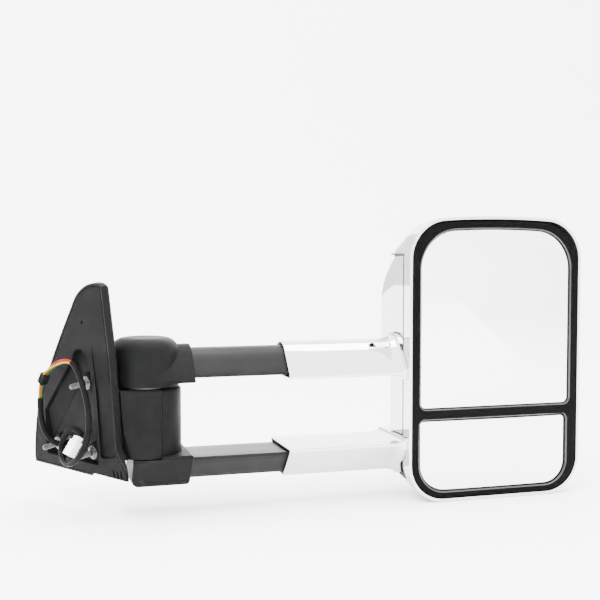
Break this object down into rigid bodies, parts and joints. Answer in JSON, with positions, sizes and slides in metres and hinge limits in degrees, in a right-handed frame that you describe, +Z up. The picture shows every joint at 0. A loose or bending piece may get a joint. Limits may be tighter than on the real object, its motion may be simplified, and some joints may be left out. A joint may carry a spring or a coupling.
{
  "type": "extendable towing mirror",
  "caption": "Twin-arm car side mirror that folds on a post and slides out for towing, with a chrome shell, a flat upper glass and a convex lower glass.",
  "frame": {"origin": "on the door face, level with the middle of the hinge and straight inboard of the hinge axis", "axes": "+X outboard along the arms, +Y to the front of the car, +Z up"},
  "size_m": [0.6021, 0.1649, 0.3164],
  "materials": {
    "chrome": "bright plated plastic",
    "grained_black": "fine grained moulded plastic",
    "coated_black": "satin black coating",
    "frame_black": "plain moulded plastic",
    "gloss_black": "glossy",
    "mirror_flat": "flat first-surface mirror",
    "mirror_convex": "convex mirror",
    "zinc": "bright zinc plate",
    "steel": "ground steel",
    "bush_nylon": "natural nylon",
    "inner_plastic": "moulded plastic",
    "cord_black": "soft vinyl sleeve",
    "tape_black": "cloth tape",
    "connector_white": "natural nylon moulding",
    "rubber": "soft rubber",
    "heater_foil": "amber film"
  },
  "bodies": {
    "base": {"sail_cover": "grained_black", "mounting_frame": "frame_black", "mounting_studs": "zinc", "cable_grommet": "rubber", "harness_lead": "cord_black", "harness_clip": "tape_black", "harness_connector": "connector_white", "post_shell": "grained_black", "pivot_tube": "steel", "fixed_detent_ring": "steel", "disc_springs": "steel", "spring_washer": "steel", "retaining_nut": "zinc"},
    "arms": {"moving_detent_ring": "steel", "upper_knuckle": "grained_black", "lower_knuckle": "grained_black", "upper_bush": "bush_nylon", "lower_bush": "bush_nylon", "upper_arm": "coated_black", "lower_arm": "coated_black", "arm_end_plugs": "inner_plastic", "arm_screws": "zinc"},
    "head": {"upper_sleeve": "chrome", "lower_sleeve": "chrome", "glide_pads": "bush_nylon", "head_shell": "chrome", "front_cover": "chrome", "bezel": "gloss_black", "head_frame": "inner_plastic", "actuator_housing": "inner_plastic", "actuator_back": "inner_plastic", "actuator_motors": "steel", "housing_screws": "zinc", "upper_ball_stud": "bush_nylon", "lower_ball_stud": "bush_nylon"},
    "tilt_jack": {"tilt_plunger": "bush_nylon"},
    "pan_jack": {"pan_plunger": "bush_nylon"},
    "upper_gimbal": {"upper_pivot_ring": "inner_plastic"},
    "lower_gimbal": {"lower_pivot_ring": "inner_plastic"},
    "upper_mirror": {"upper_carrier": "inner_plastic", "heater_pad": "heater_foil", "upper_glass": "mirror_flat"},
    "lower_mirror": {"lower_carrier": "inner_plastic", "lower_bond_pad": "rubber", "lower_glass": "mirror_convex"}
  },
  "joints": [
    {"name": "fold", "type": "hinge", "parent": "base", "child": "arms", "pos_m": [0.04503, 0.026, 0], "axis": [0, 0, 1], "range_deg": [-48, 65]},
    {"name": "extend", "type": "slide", "parent": "arms", "child": "head", "axis": [1, 0, 0], "range_m": [-0.09, 0]},
    {"name": "upper_tilt", "type": "hinge", "parent": "head", "child": "upper_gimbal", "pos_m": [0.43303, -0.002, 0.078], "axis": [1, 0, 0], "range_deg": [-7, 7]},
    {"name": "upper_pan", "type": "hinge", "parent": "upper_gimbal", "child": "upper_mirror", "pos_m": [0.43303, -0.002, 0.078], "axis": [0, 0, 1], "range_deg": [-7, 7]},
    {"name": "tilt_jack_slide", "type": "slide", "parent": "head", "child": "tilt_jack", "axis": [0, -1, 0], "range_m": [-0.0045, 0.0045]},
    {"name": "pan_jack_slide", "type": "slide", "parent": "head", "child": "pan_jack", "axis": [0, 1, 0], "range_m": [-0.0045, 0.0045]},
    {"name": "lower_tilt", "type": "hinge", "parent": "head", "child": "lower_gimbal", "pos_m": [0.43103, -0.002, -0.073], "axis": [1, 0, 0], "range_deg": [-5.5, 5.5]},
    {"name": "lower_pan", "type": "hinge", "parent": "lower_gimbal", "child": "lower_mirror", "pos_m": [0.43103, -0.002, -0.073], "axis": [0, 0, 1], "range_deg": [-5.5, 5.5]}
  ],
  "couplings": [
    {"joint": "tilt_jack_slide", "follows": "upper_tilt", "m_per_rad": 0.03},
    {"joint": "pan_jack_slide", "follows": "upper_pan", "m_per_rad": 0.03}
  ]
}
